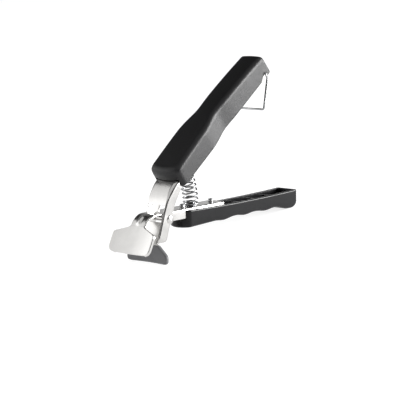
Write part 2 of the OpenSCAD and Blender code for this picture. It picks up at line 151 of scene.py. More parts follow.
def build(name, verts, faces, sharp):
    """A mesh object without doubled points, with its normals outward."""
    merge = 1e-5
    me = bpy.data.meshes.new(name)
    me.from_pydata([tuple(v) for v in verts], [], [tuple(f) for f in faces])
    me.update()
    bm = bmesh.new()
    bm.from_mesh(me)
    bmesh.ops.remove_doubles(bm, verts=bm.verts, dist=merge)
    bmesh.ops.dissolve_degenerate(bm, edges=bm.edges, dist=merge / 2)
    bmesh.ops.recalc_face_normals(bm, faces=bm.faces)
    shade(bm, sharp)
    bm.to_mesh(me)
    bm.free()
    return link(bpy.data.objects.new(name, me))


class Mesh:
    """Collects the grids, tubes and lathes of one piece."""

    def __init__(self):
        self.v, self.f = [], []

    def grid(self, pts, wrap=False, skip=None):
        """Quads over rows of points; wrap closes each row, skip(row, column) leaves a quad out."""
        pts = np.asarray(pts, float)
        rows, cols = pts.shape[:2]
        base = len(self.v)
        self.v += list(pts.reshape(-1, 3))
        for i in range(rows - 1):
            for j in range(cols if wrap else cols - 1):
                if skip is None or not skip(i, j):
                    a, b = base + i * cols, base + (i + 1) * cols
                    k = (j + 1) % cols
                    self.f.append((a + j, a + k, b + k, b + j))

    def fan(self, ring):
        """One face that closes a ring."""
        base = len(self.v)
        self.v += [np.asarray(p, float) for p in ring]
        self.f.append(tuple(range(base, base + len(ring))))

    def lathe(self, at, axis, profile, n=48):
        """profile is (radius, height) pairs along axis from the point at."""
        w = Vector(axis).normalized()
        u = w.orthogonal().normalized()
        t = w.cross(u)
        at, u, t, w = (np.array(q) for q in (at, u, t, w))
        ring = [[at + r * math.cos(a) * u + r * math.sin(a) * t + h * w
                 for a in (2 * math.pi * k / n for k in range(n))] for r, h in profile]
        self.grid(ring, wrap=True)

    def tube(self, path, r, n):
        """A round wire along path, with n sides and closed ends."""
        path = np.asarray(path, float)
        tan = np.gradient(path, axis=0)
        tan /= np.linalg.norm(tan, axis=1)[:, None]
        ref = np.array(Vector(tan[0]).orthogonal().normalized())
        rings = []
        for i, p in enumerate(path):
            ref = ref - tan[i] * (ref @ tan[i])
            ref /= np.linalg.norm(ref)
            o = np.cross(tan[i], ref)
            rings.append([p + r * (math.cos(a) * ref + math.sin(a) * o)
                          for a in (2 * math.pi * k / n for k in range(n))])

        def end(i, sign):
            ahead = sign * tan[i] * r * 0.35
            out = [[path[i] + ahead] * n]
            for q in (math.radians(60), math.radians(30)):
                out.append([path[i] + (v - path[i]) * math.sin(q) + ahead * math.cos(q) for v in rings[i]])
            return out

        self.grid(end(0, -1) + rings + end(-1, 1)[::-1], wrap=True)

    def object(self, name, upper=False, sharp=38):
        """The piece; upper says that its points are in the upper handle's s, y and n."""
        v = on_upper(self.v) if upper else np.asarray(self.v)
        return build(name, stand(v), self.f, sharp)


def modifier(ob, kind, **values):
    m = ob.modifiers.new(kind.lower(), kind)
    for k, v in values.items():
        setattr(m, k, v)


def apply_modifiers(ob):
    dg = bpy.context.evaluated_depsgraph_get()
    dg.update()
    me = bpy.data.meshes.new_from_object(ob.evaluated_get(dg))
    ob.modifiers.clear()
    ob.data = me


# ---------------------------------------------------------------- materials
def material(name):
    m = bpy.data.materials.new(name)
    m.use_nodes = True
    nt = m.node_tree
    return m, nt, nt.nodes["Principled BSDF"]


def noise(nt, scale, detail, rough, stretch=None):
    co = nt.nodes.new("ShaderNodeTexCoord")
    n = nt.nodes.new("ShaderNodeTexNoise")
    n.inputs["Scale"].default_value = scale
    n.inputs["Detail"].default_value = detail
    n.inputs["Roughness"].default_value = rough
    source = co.outputs["Object"]
    if stretch:
        mp = nt.nodes.new("ShaderNodeMapping")
        mp.inputs["Scale"].default_value = stretch
        nt.links.new(source, mp.inputs["Vector"])
        source = mp.outputs["Vector"]
    nt.links.new(source, n.inputs["Vector"])
    return n.outputs["Fac"]


def spread(nt, source, a, b, lo=0.3, hi=0.7):
    """a where source is lo or less, b where it is hi or more."""
    r = nt.nodes.new("ShaderNodeMapRange")
    r.inputs["From Min"].default_value = lo
    r.inputs["From Max"].default_value = hi
    r.inputs["To Min"].default_value = a
    r.inputs["To Max"].default_value = b
    nt.links.new(source, r.inputs["Value"])
    return r.outputs["Result"]


def tint(nt, source, dark, light):
    r = nt.nodes.new("ShaderNodeValToRGB")
    r.color_ramp.elements[0].position = 0.3
    r.color_ramp.elements[1].position = 0.7
    r.color_ramp.elements[0].color = (*dark, 1)
    r.color_ramp.elements[1].color = (*light, 1)
    nt.links.new(source, r.inputs["Fac"])
    return r.outputs["Color"]


def bump(nt, height, strength, distance, base=None):
    b = nt.nodes.new("ShaderNodeBump")
    b.inputs["Strength"].default_value = strength
    b.inputs["Distance"].default_value = distance
    nt.links.new(height, b.inputs["Height"])
    if base is not None:
        nt.links.new(base, b.inputs["Normal"])
    return b.outputs["Normal"]


def plastic(name, rough, gloss, grit):
    """Black moulded plastic with a fine grain, of strength grit, and faint patches."""
    m, nt, p = material(name)
    grain = noise(nt, 750, 5, 0.7)
    cloud = noise(nt, 38, 4, 0.55)
    black = tint(nt, cloud, (0.0045, 0.0045, 0.005), (0.008, 0.008, 0.009))
    nt.links.new(black, p.inputs["Base Color"])
    nt.links.new(spread(nt, grain, *rough), p.inputs["Roughness"])
    nt.links.new(bump(nt, grain, grit, 0.0005), p.inputs["Normal"])
    p.inputs["Specular IOR Level"].default_value = gloss
    return m


def steel():
    """Polished stainless sheet: faint polishing lines, soft smears and shallow waves."""
    m, nt, p = material("polished_steel")
    cloud = noise(nt, 55, 5, 0.6)
    lines = noise(nt, 900, 2, 0.5, stretch=(0.06, 1, 0.35))
    dents = noise(nt, 26, 2, 0.5)
    p.inputs["Metallic"].default_value = 1.0
    nt.links.new(tint(nt, cloud, (0.54, 0.533, 0.522), (0.62, 0.612, 0.60)), p.inputs["Base Color"])
    nt.links.new(spread(nt, cloud, 0.17, 0.26), p.inputs["Roughness"])
    fine = bump(nt, lines, 0.06, 0.00006)
    nt.links.new(bump(nt, dents, 0.10, 0.0004, fine), p.inputs["Normal"])
    return m


def wire():
    """Drawn steel wire, also the screws."""
    m, nt, p = material("wire_steel")
    draw = noise(nt, 700, 3, 0.5)
    p.inputs["Metallic"].default_value = 1.0
    nt.links.new(tint(nt, draw, (0.30, 0.305, 0.31), (0.42, 0.425, 0.43)), p.inputs["Base Color"])
    nt.links.new(spread(nt, draw, 0.16, 0.28), p.inputs["Roughness"])
    nt.links.new(bump(nt, draw, 0.08, 0.00005), p.inputs["Normal"])
    return m


def stud():
    """The dark steel of the spring's posts."""
    m, nt, p = material("stud_steel")
    cloud = noise(nt, 320, 4, 0.5)
    p.inputs["Metallic"].default_value = 1.0
    nt.links.new(tint(nt, cloud, (0.10, 0.10, 0.105), (0.17, 0.17, 0.175)), p.inputs["Base Color"])
    nt.links.new(spread(nt, cloud, 0.2, 0.32), p.inputs["Roughness"])
    return m


def silicone():
    """Grey silicone: dull, faintly cloudy, with a fine moulded skin."""
    m, nt, p = material("sleeve_silicone")
    cloud = noise(nt, 90, 4, 0.55)
    grain = noise(nt, 2100, 3, 0.6)
    grey = tint(nt, cloud, (0.085, 0.086, 0.09), (0.12, 0.121, 0.126))
    nt.links.new(grey, p.inputs["Base Color"])
    nt.links.new(spread(nt, cloud, 0.52, 0.62), p.inputs["Roughness"])
    nt.links.new(bump(nt, grain, 0.3, 0.0001), p.inputs["Normal"])
    p.inputs["Sheen Weight"].default_value = 0.15
    p.inputs["Sheen Roughness"].default_value = 0.4
    return m


PLASTIC = plastic("handle_plastic", (0.38, 0.50), 0.36, 0.35)
GLOSSY = plastic("glossy_plastic", (0.22, 0.27), 0.21, 0.1)  # the lower handle has a shinier skin
STEEL, WIRE, STUD, SILICONE = steel(), wire(), stud(), silicone()


def dress(ob, mat, body, nodes):
    """Says of a piece what it is made of, what it rides on and which nodes it replaces."""
    ob.data.materials.clear()
    ob.data.materials.append(mat)
    if body:
        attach(ob, body)
    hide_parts(*nodes)
    return ob


# ---------------------------------------------------------------- both handles
def ring_of(outline, ends, height, mix):
    """Half a ring of a handle: outline drawn toward the middle line between ends by mix, at height."""
    row = []
    for p in outline:
        q = p * (1 - mix) + np.array([clip(p[0], *ends), 0.0]) * mix
        row.append([q[0], q[1], height(q[0], q[1], p)])
    return row


def mirrored(halves):
    """Whole rings from halves that run from the tail's middle to the nose's middle."""
    half = np.array(halves)
    other = half[:, ::-1][:, 1:-1] * np.array([1, -1, 1])
    return np.concatenate([half, other], 1)


# ---------------------------------------------------------------- the lower handle
NOSE_BOTTOM = RIM_Z - LOWER_H
GRIP_BOTTOM = NOSE_BOTTOM + 2.2
RISE_L = 60                                      # the underside rises over this length
GROOVES_X, GROOVE_HALF = [NOSE_X + 44.5 + i * PITCH for i in range(3)], 11
DROP_FROM, DROP_TO = TAIL_X - 27.6, TAIL_X - 10.6
INNER_FLOOR, FLOOR_R = 2.0, 1.0                  # the trough's floor and its round to the walls
RIBS_X, PILLAR_R = [NOSE_X + 52 + 20 * i for i in range(4)], 3.3


def rim_at(x):
    """The rim's height, which dips in the middle."""
    u = (2 * x - NOSE_X - TAIL_X) / LOWER_L
    return RIM_Z - RIM_DIP * (1 - u * u)


def grip_at(x):
    """The underside's height."""
    x0 = min(x, TAIL_X - LOWER_TAIL_R)
    z = NOSE_BOTTOM + (GRIP_BOTTOM - NOSE_BOTTOM) * clip((x0 - NOSE_X) / RISE_L, 0, 1)
    z -= GROOVE * sum(hump(x0, g, GROOVE_HALF) for g in GROOVES_X)
    z -= DROP * ramp(x0, DROP_FROM, DROP_TO)
    if x > x0:
        u = min(x - x0, LOWER_TAIL_R)
        z += LOWER_TAIL_R - math.sqrt(LOWER_TAIL_R ** 2 - u * u)
    return z


def lower_outline(e):
    """Half of the plan outline (y >= 0), from the tail's middle to the nose's middle, inset by e."""
    hw = LOWER_W / 2 - e
    nose_r = bow_radius(LOWER_W / 2, LOWER_BOW)
    cx, r = NOSE_X + nose_r, nose_r - e
    xc = cx - math.sqrt(r * r - hw * hw)         # where the nose's bow meets the side
    tail, rc = TAIL_X - e, max(2.8 - e, 0.6)
    pts = [np.array([tail, y]) for y in np.linspace(0, hw - rc, 7)]
    pts += corner([tail, hw - rc], [tail, hw], [tail - rc, hw], 8)[1:]
    k = 1.3                                      # that corner is rounded over this length
    pts += [np.array([x, hw]) for x in np.linspace(tail - rc, xc + k, 90)[1:]]
    q = math.asin(hw / r) - k / r
    pts += corner([xc + k, hw], [xc, hw], [cx - r * math.cos(q), r * math.sin(q)], 6)[1:]
    at_notch = [NOTCH_HALF + 0.02, NOTCH_HALF - 0.02]
    ys = np.concatenate([np.linspace(r * math.sin(q), NOTCH_HALF + 0.1, 3)[1:], at_notch,
                         np.linspace(NOTCH_HALF - 0.4, 0, 12)])
    pts += [np.array([cx - math.sqrt(r * r - y * y), y]) for y in ys]
    return np.array(pts)


def lower_handle():
    """A trough that is open on top."""
    halves = []

    def level(e, height, mix=0.0):
        halves.append(ring_of(lower_outline(e), (NOSE_X + 8, TAIL_X - 9), height, mix))

    def rim(x, p):
        return NOTCH_Z if abs(p[1]) < NOTCH_HALF and p[0] < NOTCH_X else rim_at(x)

    def floor(x):
        return grip_at(x) + INNER_FLOOR

    # from the middle of the underside, up the outside, over the rim and down to the middle of the floor
    for mix in (1.0, 0.8, 0.55, 0.3, 0.12):
        level(GRIP_R, lambda x, y, p: grip_at(x), mix)
    for s, c in quarter(8):
        level(GRIP_R * (1 - s), lambda x, y, p: grip_at(x) + GRIP_R * (1 - c))
    for t in (0.2, 0.4, 0.6, 0.8, 0.93):
        level(0, lambda x, y, p: (grip_at(x) + GRIP_R) * (1 - t) + (rim(x, p) - RIM_R) * t)
    for s, c in quarter(5):
        level(RIM_R * (1 - c), lambda x, y, p: rim(x, p) - RIM_R + RIM_R * s)
    for s, c in quarter(4):
        level(WALL - LIP_R + LIP_R * s, lambda x, y, p: rim(x, p) - LIP_R + LIP_R * c)
    for t in (0.75, 0.5, 0.25):
        level(WALL, lambda x, y, p: (floor(x) + FLOOR_R) * (1 - t) + (rim(x, p) - LIP_R) * t)
    for s, c in quarter(4):
        level(WALL + FLOOR_R * (1 - c), lambda x, y, p: floor(x) + FLOOR_R * (1 - s))
    for mix in (0.2, 0.5, 0.8, 1.0):
        level(WALL + FLOOR_R, lambda x, y, p: floor(x), mix)
    m = Mesh()
    m.grid(mirrored(halves), wrap=True)

    # cross ribs under the rim, and the pillars the screws go into
    top, w = RIM_Z - RIM_DIP - 2.2, LOWER_W / 2 - WALL + 0.15
    sunk = INNER_FLOOR - 0.5                     # they start a little inside the floor
    for x in RIBS_X:
        low = grip_at(x) + sunk
        prof = [(-1.1, low), (-1.0, top - 0.3), (-0.7, top), (0.7, top), (1.0, top - 0.3), (1.1, low)]
        m.grid([[(x + a, y, b) for a, b in prof] for y in np.linspace(-w, w, 5)])
    for x in LOWER_SCREWS:
        foot = grip_at(x) + sunk
        h = WEB_Z - SHEET - foot
        m.lathe((x, 0, foot), (0, 0, 1), [(PILLAR_R, 0), (PILLAR_R, h - 0.3), (PILLAR_R - 0.3, h), (0.2, h)])
    return dress(m.object("lower_handle_shell"), GLOSSY, "lower_body", ["lower_handle"])


# ---------------------------------------------------------------- the upper handle
# the notch in the rim for the bail's wire, as (s, n)
BAIL_NOTCH = [(112.45, -UPPER_H), (118.5, -11.9), (120.1, -11.9), (120.74, -UPPER_H)]
UPPER_NOSE_R = bow_radius(UPPER_W / 2, UPPER_BOW)
NOSE_FRONT, NOSE_LEAN = -5.5, 1.2                # the nose's front, and how far its top edge is set back
TAIL_LEAN, TAIL_CORNER, TAIL_BOW = 1.2, 3.4, 0.5
WAIST = (36, 61)                                 # the nose narrows to the grip between these
UPPER_RIBS = (62, 80, 98)
CROWN = 0.35                                     # the back is this much lower at its sides


def upper_half(s):
    """Half width, which falls from the wide nose to the narrow grip."""
    front = UPPER_W / 2 - 0.6 * clip(s / 41, 0, 1)
    rear = UPPER_TAIL_W / 2 - 0.6 * hump(s, 59, 18)
    return front + (rear - front) * ramp(s, *WAIST)


def back_at(s):
    """The back's height over the base line: a low arch."""
    u = clip(s, 0, UPPER_L) / UPPER_L
    return 0.8 * u + 4 * ARCH * u * (1 - u)


def mouth_at(e):
    """Half width of the mouth on the outline that is inset by e."""
    y, deep = MOUTH_HALF + MOUTH_GAP, 2.3
    return y if e <= deep else y * (UPPER_W / 2 - e) / (UPPER_W / 2 - deep)


def upper_rim(s, y, e):
    """The rim's n: the mouth in the nose, the bail's notch or the plain rim."""
    if s < 1.0 and abs(y) < mouth_at(e):
        return MOUTH_N + MOUTH_GAP
    if BAIL_NOTCH[0][0] < s < BAIL_NOTCH[-1][0]:
        return float(np.interp(s, [k[0] for k in BAIL_NOTCH], [k[1] for k in BAIL_NOTCH]))
    return -UPPER_H


def upper_outline(e, n):
    """Half of the outline (y >= 0) at height n, from the tail's middle to the nose's middle, inset by e."""
    tail = UPPER_L - TAIL_LEAN * (1 - clip(-n / UPPER_H, 0, 1)) - e
    front = NOSE_FRONT + NOSE_LEAN * clip((n + 7) / 7, 0, 1) ** 2
    rc = max(TAIL_CORNER - e, 0.8)
    hw_t = upper_half(tail) - e
    pts = [np.array([tail - TAIL_BOW * (y / hw_t) ** 2, y]) for y in np.linspace(0, hw_t - rc, 7)]
    start = [tail - TAIL_BOW * (1 - rc / hw_t) ** 2, hw_t - rc]
    pts += corner(start, [tail - 0.4, hw_t], [tail - rc, hw_t], 8)[1:]

    # the long side, with points close together at the bail's notch and where the handle narrows
    stops = [np.linspace(tail - rc, 121.2, 3)[1:], [120.8, 120.7, 120.4, 120.1, 119.6, 119.0, 118.5],
             np.linspace(117.9, 112.6, 9), [112.45], np.linspace(111, 61, 28), np.linspace(60, 37, 26),
             np.linspace(35.5, 7, 14)]
    pts += [np.array([s, upper_half(s) - e]) for s in np.concatenate(stops)]

    # the nose: a tight corner into a shallow bow, with a point on each side of the mouth's edge
    r, c = UPPER_NOSE_R - e, front + UPPER_NOSE_R
    a = math.asin((UPPER_W / 2 - 3.5) / UPPER_NOSE_R)
    q, yq, hw = c - r * math.cos(a), r * math.sin(a), upper_half(0) - e
    bend = corner([q + 4.4, hw], [q + 0.9, hw], [q, yq], 60)
    bend += [np.array([c - r * math.cos(b), r * math.sin(b)]) for b in np.linspace(a, 0, 60)[1:]]
    bend = np.array(bend)
    m = min(mouth_at(e), hw - 0.25)
    ys = np.concatenate([[m + 0.03, m - 0.03, m - 0.5], np.linspace(m - 1.1, 0, 16)])
    run = np.concatenate([[0], np.cumsum(np.linalg.norm(np.diff(bend, axis=0), axis=1))])
    to_mouth = np.interp(m + 0.1, bend[::-1, 1], run[::-1])
    pts += [np.array([5.5, upper_half(5.5) - e])]
    pts += [np.array([np.interp(d, run, bend[:, 0]), np.interp(d, run, bend[:, 1])])
            for d in np.linspace(0, to_mouth, 9)]
    pts += [np.array([np.interp(y, bend[::-1, 1], bend[::-1, 0]), y]) for y in ys]
    return np.array(pts)


def upper_handle():
    """A shell that is open underneath."""
    halves = []

    def level(e, height, n, mix=0.0):
        halves.append(ring_of(upper_outline(e, n), (12, UPPER_L - 12), height, mix))

    def top(s, y):
        return back_at(s) - CROWN * (y / upper_half(clip(s, 0, UPPER_L))) ** 2

    def rim(p, e):
        return upper_rim(p[0], p[1], e)

    # from the middle of the back, down the outside, around the rim and up to the middle of the roof
    for mix in (1.0, 0.8, 0.6, 0.4, 0.2, 0.08):
        level(BACK_R, lambda s, y, p: top(s, y), 0, mix)
    for sn, cs in quarter(11):
        fall = BACK_R * (1 - cs)
        level(BACK_R * (1 - sn), lambda s, y, p: top(s, y) - fall, -fall)
    for t in (0.1, 0.25, 0.4, 0.55, 0.7, 0.85, 0.95):
        level(0, lambda s, y, p: (top(s, y) - BACK_R) * (1 - t) + (rim(p, 0) + UPPER_RIM_R) * t,
              -BACK_R * (1 - t) - UPPER_H * t)
    for sn, cs in quarter(5):
        e = UPPER_RIM_R * (1 - cs)
        level(e, lambda s, y, p: rim(p, e) + UPPER_RIM_R * (1 - sn), -UPPER_H)
    for sn, cs in quarter(4):
        e = WALL - LIP_R + LIP_R * sn
        level(e, lambda s, y, p: rim(p, e) + LIP_R * (1 - cs), -UPPER_H)
    for t in (0.2, 0.5, 0.8, 1.0):
        level(WALL, lambda s, y, p: (rim(p, WALL) + LIP_R) * (1 - t) + (top(s, y) - WALL - INSIDE_R) * t,
              -UPPER_H * (1 - t) - 3 * t)
    for sn, cs in quarter(4)[1:]:
        level(WALL + INSIDE_R * (1 - cs), lambda s, y, p: top(s, y) - WALL - INSIDE_R * (1 - sn), -1)
    for mix in (0.2, 0.5, 0.8, 1.0):
        level(WALL + INSIDE_R, lambda s, y, p: top(s, y) - WALL, 0, mix)
    m = Mesh()
    m.grid(mirrored(halves), wrap=True)

    # the screws' pillars, the bail's two bosses and the cross ribs
    for s in UPPER_SCREWS:
        m.lathe((s, 0, MOUTH_N + 0.01), (0, 0, 1),
                [(0.2, 0), (PILLAR_R - 0.3, 0), (PILLAR_R, 0.3), (PILLAR_R, 9.5)])
    boss = [(0.86, 0), (2.35, 0), (2.6, 0.25), (2.6, 1.6), (0.86, 1.6), (0.86, 0)]
    for k in (-1, 1):
        m.lathe((BAIL_S, k * 6.6, BAIL_N), (0, k, 0), boss, 32)
    for s in UPPER_RIBS:
        w, roof = upper_half(s) - WALL + 0.1, back_at(s) - WALL + 0.2
        prof = [(-0.9, roof), (-0.7, -5.6), (-0.45, -5.9), (0.45, -5.9), (0.7, -5.6), (0.9, roof)]
        m.grid([[(s + a, y, b) for a, b in prof] for y in np.linspace(-w, w, 5)])
    return dress(m.object("upper_handle_shell", upper=True), PLASTIC, "upper_body", ["upper_handle"])


# ---------------------------------------------------------------- steel strips
def curve_in(y):
    """How much further forward a jaw's face is at y than at its middle."""
    return JAW_R - math.sqrt(JAW_R ** 2 - y * y)


def spade_right(neck, half, slope, foot, bend=3.4):
    """Right edge of a jaw's face, from the neck to the foot: (y, height from the face's top).
    The shoulder falls by slope for each mm outward, and bend is the size of the foot's corner."""
    s0 = -0.8
    s1 = s0 - (half - neck) * slope
    run = half - 4 - neck
    pts = [np.array([neck, 0.6])]
    pts += corner([neck, s0 + 1.2], [neck, s0], [neck + 2, s0 - 2 * slope], 6)
    pts += [np.array([neck + 2 + run * k / 6, s0 - 2 * slope - run * slope * k / 6]) for k in range(1, 6)]
    pts += corner([half - 2, s1 + 2 * slope], [half, s1], [half, s1 - 1.8], 7)
    z0, z1 = s1 - 1.8, bend - 0.2 - foot
    if z0 - z1 > 1.5:
        pts += [np.array([half, z0 + (z1 - z0) * k / 7]) for k in range(1, 7)]
    pts += corner([half, z1], [half, -foot], [half - bend, -foot], 8)
    return np.array(pts)


def channel(stations, columns):
    """A sheet's outer surface. A station is (point, out, half width, corner radius, flange depth,
    lift): lift(y) moves the web outward, and columns(half) gives the web's y places."""
    rows = []
    for p, out, w, rc, d, lift in stations:
        side = [(w, rc + (d - rc) * t) for t in (1.0, 0.75, 0.5, 0.25)]
        side += [(w - rc + rc * c, rc - rc * s) for s, c in quarter(6)]
        across = side + [(y, 0.0) for y in columns(w - rc)] + [(-y, dd) for y, dd in reversed(side)]
        row = []
        for y, dd in across:
            q = np.array(p, float) + np.array(out) * ((lift(y) if lift else 0.0) - dd)
            row.append([q[0], y, q[1]])
        rows.append(row)
    return rows


def thick(ob, body, node, stop=None):
    """Gives a sheet its thickness; stop is a point and the direction that nothing passes it in."""
    modifier(ob, "SOLIDIFY", thickness=SHEET / 1000, offset=-1, use_even_offset=False)
    if stop:
        apply_modifiers(ob)
        end, along = Vector(stop[0]), Vector(stop[1]).normalized()
        for v in ob.data.vertices:
            v.co -= along * max(0.0, (v.co - end).dot(along))
    modifier(ob, "BEVEL", width=0.00022, segments=2, limit_method="ANGLE",
             angle_limit=math.radians(50), harden_normals=False)
    apply_modifiers(ob)
    bm = bmesh.new()
    bm.from_mesh(ob.data)
    shade(bm, 48)
    bm.to_mesh(ob.data)
    bm.free()
    return dress(ob, STEEL, body, [node])


# the front jaw hangs from the end of an arc of BEND_R about BEND_C, after TURN degrees
BEND_R, TURN = 14.0, 62.0
BEND_C = np.array([-12.0, WEB_Z - BEND_R])
JAW_TOP = BEND_C + BEND_R * unit(90 + TURN)
JAW_NECK, JAW_SLOPE, JAW_CORNER = 7.0, 0.4, 4.6
LOWER_EAR_R, LOWER_FLANGE_Z, TURNED_EDGE = 3.5, -2.0, 1.25


def lower_depth(x):
    """Depth of the lower arm's flanges, which widen to an ear around the rivet."""
    if x >= 6:
        z = LOWER_FLANGE_Z
    elif x > 2.5:
        z = LOWER_FLANGE_Z - 0.45 * ramp(6 - x, 0, 3.5)
    elif x > -3.3:
        z = -math.sqrt(max(LOWER_EAR_R ** 2 - x * x, 0.5))
    elif x > -6.4:
        z = -1.2 + 5.2 * ramp(-x, 3.1, 6.4)
    else:
        z = WEB_Z - TURNED_EDGE
    return WEB_Z - z


def lower_arm():
    """A channel from under the spring, over the rivet and around the bend to the front jaw."""
    half_cols = [6.6, 5.6, 4.6, 3.6, 2.7, 1.9, 1.3, 0.8, 0.4]
    cols = [c / 6.7 for c in half_cols + [0] + [-c for c in reversed(half_cols)]]
    xs = np.concatenate([np.linspace(62, 7, 30), np.linspace(6, -6.6, 36), np.linspace(-7, -12, 8)])
    st = [((x, WEB_Z), (0, 1), ARM_W / 2, 1.2, lower_depth(x), None) for x in xs]
    for a in np.linspace(0, TURN, 34)[1:]:
        out = unit(90 + a)
        w = ARM_W / 2 - 0.5 * ramp(a, 10, 45)
        rc = 1.2 - 0.3 * ramp(a, 40, 62)
        d = TURNED_EDGE + 1.5 * hump(a, 24, 20)
        # a rib pressed into the bend
        rib = 1.15 * ramp(a, 16, 30) * (1 - ramp(a, 46, 63))
        lift = (lambda y, rib=rib: rib * math.exp(-(y / 1.55) ** 2)) if rib > 0.01 else None
        st.append((BEND_C + BEND_R * out, out, w, rc, d, lift))
    out, down = unit(90 + TURN), -unit(TURN)
    right = spade_right(JAW_NECK, JAW_HALF, JAW_SLOPE, JAW_DEEP, JAW_CORNER)
    for w, v in right:
        if v <= -0.05:
            d = TURNED_EDGE + 1.15 * ramp(-v, 0.8, 4.5)
            st.append((JAW_TOP + down * (-v), out, w, 0.9, d, curve_in))
    # the foot's turned edge: rows that go back and a little down
    for back, drop in ((0.25, 0.35), (0.6, 0.5), (1.2, 0.55), (1.9, 0.55)):
        st.append((JAW_TOP + down * (JAW_DEEP - 0.55 + drop), out, right[-1][0], 0.9, 2.4,
                   lambda y, back=back: curve_in(y) - back))
    m = Mesh()
    m.grid(channel(st, lambda half: [c * half * 0.985 for c in cols]))
    ob = m.object("lower_arm_channel", sharp=60)
    tip = stand([(p[0], 0, p[1]) for p in (JAW_TOP, JAW_TOP + down * JAW_DEEP)])
    return thick(ob, "lower_body", "lower_arm", stop=(tip[1], tip[1] - tip[0]))


# the upper arm rises ARM_UP from its foot at LEAN degrees, bends by an arc of ARM_R about ARM_C
# and runs ARM_RUN inside the upper handle from ARM_IN
LEAN = 70.5
FOOT = np.array([-13.2, -16.0])
ARM_UP, ARM_R, ARM_RUN = 31.0, 30, 41.7
ARM_BEND = FOOT + ARM_UP * unit(LEAN)
ARM_C = ARM_BEND + ARM_R * unit(LEAN - 90)
ARM_IN = ARM_C + ARM_R * OFF
UPPER_WEB_N = (ARM_IN - UPPER_AT) @ OFF
EAR_R = 3.6                                      # around the rivet
FOLD, FOLD_INSIDE = 1.5, 2.8                     # the folds' radius outside and inside the handle
WINDOW = (15.59, 23.19, 28.11)                   # the arm's window: its foot, the tongue's end, its top
TONGUE_HALF = 2.5


def flange_edge():
    """The free edge of the upper arm's flanges, from the handle's end to the foot."""
    rear = FOOT + 8.4 * unit(LEAN - 90)
    end_s = (ARM_IN - UPPER_AT) @ ALONG + ARM_RUN
    fl = -UPPER_H + 0.5

    def at(s, n):
        return UPPER_AT + s * ALONG + n * OFF

    edge = [at(end_s + 0.4, UPPER_WEB_N - 1.3)]
    edge += corner(at(end_s, UPPER_WEB_N - 2), at(end_s, fl), at(end_s - 4, fl), 6)
    edge += corner(at(2, fl), at(-4, fl), rear + 31 * unit(LEAN), 14)
    edge += corner(rear + 5 * unit(LEAN), [rear[0] + 1, FOOT[1]], [rear[0] - 1.5, FOOT[1]], 8)
    return np.array(edge + [FOOT + np.array([0.9, -0.02])])


def upper_arm():
    """A channel from inside the upper handle, over the rivet and down to the rear jaw's blade."""
    edge = flange_edge()

    def reach(p, m):
        """How far the flange goes from p in the direction m: to the edge or around the rivet's ear."""
        best = 1.3
        for a, b in zip(edge[:-1], edge[1:]):
            d = b - a
            den = m[0] * d[1] - m[1] * d[0]
            if abs(den) < 1e-9:
                continue
            t = ((a[0] - p[0]) * d[1] - (a[1] - p[1]) * d[0]) / den
            u = ((a[0] - p[0]) * m[1] - (a[1] - p[1]) * m[0]) / den
            if -1e-6 <= u <= 1 + 1e-6 and t > best:
                best = t
        k = p @ m
        disc = k * k - (p @ p - EAR_R ** 2)
        return max(best, -k + math.sqrt(disc)) if disc > 0 else best

    def half_at(p):
        return UARM_W / 2 + (MOUTH_HALF - UARM_W / 2) * clip((p[1] - 4.2) / 21.8, 0, 1)

    # stations, each with a tag that says how high up the arm it is
    st, tags = [], []

    def add(p, out, w, rc, tag):
        st.append((p, out, w, rc, max(rc, reach(p, -out)), None))
        tags.append(tag)

    for u in np.concatenate([np.linspace(ARM_RUN, 4, 22), np.linspace(2, 0, 3)]):
        p = ARM_IN + u * ALONG
        add(p, OFF, half_at(p), FOLD_INSIDE, 60 + u)
    for a in np.linspace(OPEN_DEG + 90, LEAN + 90, 16)[1:]:
        p = ARM_C + ARM_R * unit(a)
        left = LEAN + 90 - a
        add(p, unit(a), half_at(p), FOLD + (FOLD_INSIDE - FOLD) * ramp(left, 0, 14), ARM_UP + left * 0.4)
    for v in np.concatenate([[30, 29, 28.1], np.linspace(27.2, 23.2, 6), np.linspace(22.4, 15.6, 10),
                             np.linspace(14.8, 3, 14), np.linspace(2.4, 0.4, 6)]):
        p = FOOT + v * unit(LEAN)
        add(p, unit(LEAN + 90), half_at(p) - 0.8 * (1 - ramp(v, 0.0, 4.0)), FOLD, v)
    for w, v in spade_right(UARM_W / 2 - 0.8, REAR_HALF, REAR_SLOPE, REAR_DEEP):
        if v <= -0.3:
            st.append((FOOT + np.array([0, v]), (-1, 0), w, 0.35, 0.4, curve_in))
            tags.append(v)

    half_cols = [7.8, 6.9, 6.0, 5.0, 4.0, 3.2, 2.5, 1.8, 0.9]
    cols = half_cols + [0] + [-c for c in reversed(half_cols)]
    side = 10                                    # columns of a flange and its fold, on each side

    def inner(half):
        k = max(1.0, half / cols[0])
        return [clip(c * k, -half + 0.02, half - 0.02) for c in cols]

    def hole(i, j):
        """The window, but not the tongue that hangs into it from above."""
        k = j - side
        if tags[i] > WINDOW[2] or tags[i + 1] < WINDOW[0] or not 0 <= k < len(cols) - 1:
            return False
        mid = (cols[k] + cols[k + 1]) / 2
        return not (abs(mid) < TONGUE_HALF and tags[i + 1] >= WINDOW[1])

    m = Mesh()
    m.grid(channel(st, inner), skip=hole)
    return thick(m.object("upper_arm_channel", sharp=60), "upper_body", "upper_arm")


